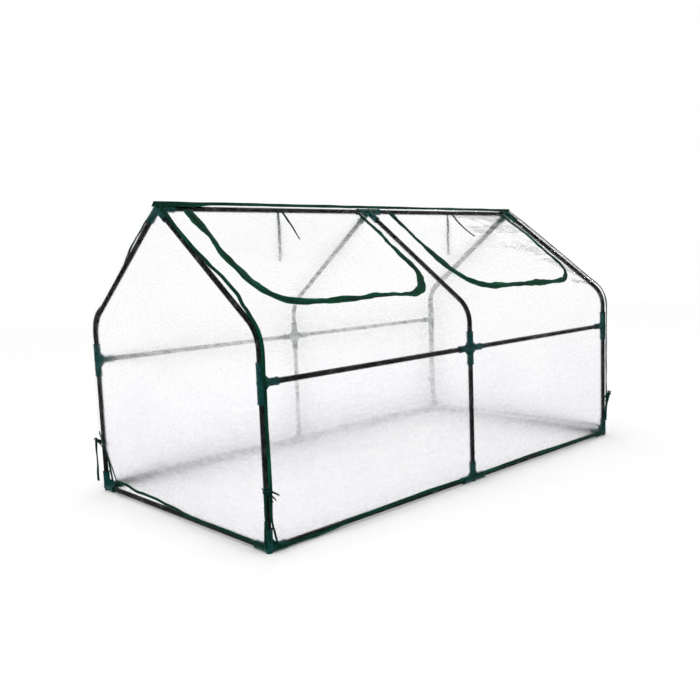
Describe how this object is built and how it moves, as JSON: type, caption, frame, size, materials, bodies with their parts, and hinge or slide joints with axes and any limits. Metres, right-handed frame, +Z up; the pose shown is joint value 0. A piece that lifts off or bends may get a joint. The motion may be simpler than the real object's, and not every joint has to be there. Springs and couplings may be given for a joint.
{
  "type": "mini greenhouse",
  "caption": "Low gabled mini greenhouse: tube frame with push-fit connectors under a clear film cover, with zipped roll-up windows in the front roof slope.",
  "frame": {"origin": "on the ground under the middle of the frame", "axes": "+X along the ridge, -Y to the front, which has the windows, +Z up"},
  "size_m": [1.8, 0.9685, 0.9586],
  "materials": {
    "tube_black": "satin black powder coat on thin steel tube",
    "connector_green": "dark blue-green moulded plastic, slightly glossy",
    "clear_film": "clear, slightly hazy flexible film with soft creases",
    "green_binding": "dark green woven binding tape, folded and stitched",
    "zip_tape": "dark green woven zip tape with a nylon coil",
    "zip_metal": "dark green enamelled zip slider and tab",
    "tie_ribbon": "dark green woven tape"
  },
  "bodies": {
    "root": {"base_tubes_front": "tube_black", "base_tubes_back": "tube_black", "base_tube_left_end": "tube_black", "base_tube_right_end": "tube_black", "side_rails_front": "tube_black", "side_rails_back": "tube_black", "ridge_tubes": "tube_black", "lower_posts_front": "tube_black", "lower_posts_back": "tube_black", "arch_tube_front_left": "tube_black", "arch_tube_front_middle": "tube_black", "arch_tube_front_right": "tube_black", "arch_tube_back_left": "tube_black", "arch_tube_back_middle": "tube_black", "arch_tube_back_right": "tube_black", "base_corner_connectors_left": "connector_green", "base_corner_connectors_right": "connector_green", "base_tee_connectors": "connector_green", "side_tee_connectors": "connector_green", "side_cross_connectors": "connector_green", "ridge_end_connectors": "connector_green", "ridge_middle_connector": "connector_green", "front_wall_film": "clear_film", "back_wall_film": "clear_film", "front_roof_film": "clear_film", "back_roof_film": "clear_film", "left_end_film": "clear_film", "right_end_film": "clear_film", "ridge_binding": "green_binding", "left_gable_binding": "green_binding", "right_gable_binding": "green_binding", "hem_binding": "green_binding", "corner_tie_knots": "green_binding", "window_zip_left": "zip_tape", "window_zip_right": "zip_tape", "window_tie_outer_left": "tie_ribbon", "window_tie_outer_right": "tie_ribbon", "window_tie_inner_left": "tie_ribbon", "window_tie_inner_right": "tie_ribbon", "corner_tie_front_left": "tie_ribbon", "corner_tie_back_left": "tie_ribbon", "corner_tie_front_right": "tie_ribbon", "corner_tie_back_right": "tie_ribbon"},
    "left_flap_1": {"window_flap_left_strip_1": "clear_film"},
    "left_flap_2": {"window_flap_left_strip_2": "clear_film"},
    "left_flap_3": {"window_flap_left_strip_3": "clear_film"},
    "left_flap_4": {"window_flap_left_strip_4": "clear_film"},
    "left_flap_5": {"window_flap_left_strip_5": "clear_film"},
    "left_flap_6": {"window_flap_left_strip_6": "clear_film"},
    "left_slider": {"zip_slider_left": "zip_metal"},
    "left_pull_tab": {"zip_pull_tab_left": "zip_metal"},
    "right_flap_1": {"window_flap_right_strip_1": "clear_film"},
    "right_flap_2": {"window_flap_right_strip_2": "clear_film"},
    "right_flap_3": {"window_flap_right_strip_3": "clear_film"},
    "right_flap_4": {"window_flap_right_strip_4": "clear_film"},
    "right_flap_5": {"window_flap_right_strip_5": "clear_film"},
    "right_flap_6": {"window_flap_right_strip_6": "clear_film"},
    "right_slider": {"zip_slider_right": "zip_metal"},
    "right_pull_tab": {"zip_pull_tab_right": "zip_metal"}
  },
  "joints": [
    {"name": "left_window_roll", "type": "hinge", "parent": "root", "child": "left_flap_1", "pos_m": [-0.4375, -0.11106, 0.87062], "axis": [-1, 0, 0], "range_deg": [0, 90], "deforming": ["window_tie_outer_left"]},
    {"name": "left_window_fold_2", "type": "hinge", "parent": "left_flap_1", "child": "left_flap_2", "pos_m": [-0.4375, -0.17003, 0.82591], "axis": [-1, 0, 0], "range_deg": [0, 90]},
    {"name": "left_window_fold_3", "type": "hinge", "parent": "left_flap_2", "child": "left_flap_3", "pos_m": [-0.4375, -0.22103, 0.78725], "axis": [-1, 0, 0], "range_deg": [0, 90]},
    {"name": "left_window_fold_4", "type": "hinge", "parent": "left_flap_3", "child": "left_flap_4", "pos_m": [-0.4375, -0.27362, 0.74737], "axis": [-1, 0, 0], "range_deg": [0, 90]},
    {"name": "left_window_fold_5", "type": "hinge", "parent": "left_flap_4", "child": "left_flap_5", "pos_m": [-0.4375, -0.31506, 0.71596], "axis": [-1, 0, 0], "range_deg": [0, 90]},
    {"name": "left_window_fold_6", "type": "hinge", "parent": "left_flap_5", "child": "left_flap_6", "pos_m": [-0.4375, -0.36128, 0.68092], "axis": [-1, 0, 0], "range_deg": [0, 90]},
    {"name": "left_zip_slide", "type": "slide", "parent": "root", "child": "left_slider", "axis": [0, -0.7969, -0.6042], "range_m": [0, 0.29]},
    {"name": "left_pull_tab_hinge", "type": "hinge", "parent": "left_slider", "child": "left_pull_tab", "pos_m": [-0.0845, -0.04181, 0.9299], "axis": [-1, 0, 0], "range_deg": [0, 160]},
    {"name": "right_window_roll", "type": "hinge", "parent": "root", "child": "right_flap_1", "pos_m": [0.4375, -0.11106, 0.87062], "axis": [-1, 0, 0], "range_deg": [0, 90], "deforming": ["window_tie_outer_right"]},
    {"name": "right_window_fold_2", "type": "hinge", "parent": "right_flap_1", "child": "right_flap_2", "pos_m": [0.4375, -0.17003, 0.82591], "axis": [-1, 0, 0], "range_deg": [0, 90]},
    {"name": "right_window_fold_3", "type": "hinge", "parent": "right_flap_2", "child": "right_flap_3", "pos_m": [0.4375, -0.22103, 0.78725], "axis": [-1, 0, 0], "range_deg": [0, 90]},
    {"name": "right_window_fold_4", "type": "hinge", "parent": "right_flap_3", "child": "right_flap_4", "pos_m": [0.4375, -0.27362, 0.74737], "axis": [-1, 0, 0], "range_deg": [0, 90]},
    {"name": "right_window_fold_5", "type": "hinge", "parent": "right_flap_4", "child": "right_flap_5", "pos_m": [0.4375, -0.31506, 0.71596], "axis": [-1, 0, 0], "range_deg": [0, 90]},
    {"name": "right_window_fold_6", "type": "hinge", "parent": "right_flap_5", "child": "right_flap_6", "pos_m": [0.4375, -0.36128, 0.68092], "axis": [-1, 0, 0], "range_deg": [0, 90]},
    {"name": "right_zip_slide", "type": "slide", "parent": "root", "child": "right_slider", "axis": [0, -0.7969, -0.6042], "range_m": [0, 0.29]},
    {"name": "right_pull_tab_hinge", "type": "hinge", "parent": "right_slider", "child": "right_pull_tab", "pos_m": [0.7905, -0.04181, 0.9299], "axis": [-1, 0, 0], "range_deg": [0, 160]}
  ],
  "couplings": [
    {"joint": "left_window_fold_2", "follows": "left_window_roll", "ratio": 1},
    {"joint": "left_window_fold_3", "follows": "left_window_roll", "ratio": 1},
    {"joint": "left_window_fold_4", "follows": "left_window_roll", "ratio": 1},
    {"joint": "left_window_fold_5", "follows": "left_window_roll", "ratio": 1},
    {"joint": "left_window_fold_6", "follows": "left_window_roll", "ratio": 1},
    {"joint": "right_window_fold_2", "follows": "right_window_roll", "ratio": 1},
    {"joint": "right_window_fold_3", "follows": "right_window_roll", "ratio": 1},
    {"joint": "right_window_fold_4", "follows": "right_window_roll", "ratio": 1},
    {"joint": "right_window_fold_5", "follows": "right_window_roll", "ratio": 1},
    {"joint": "right_window_fold_6", "follows": "right_window_roll", "ratio": 1}
  ]
}
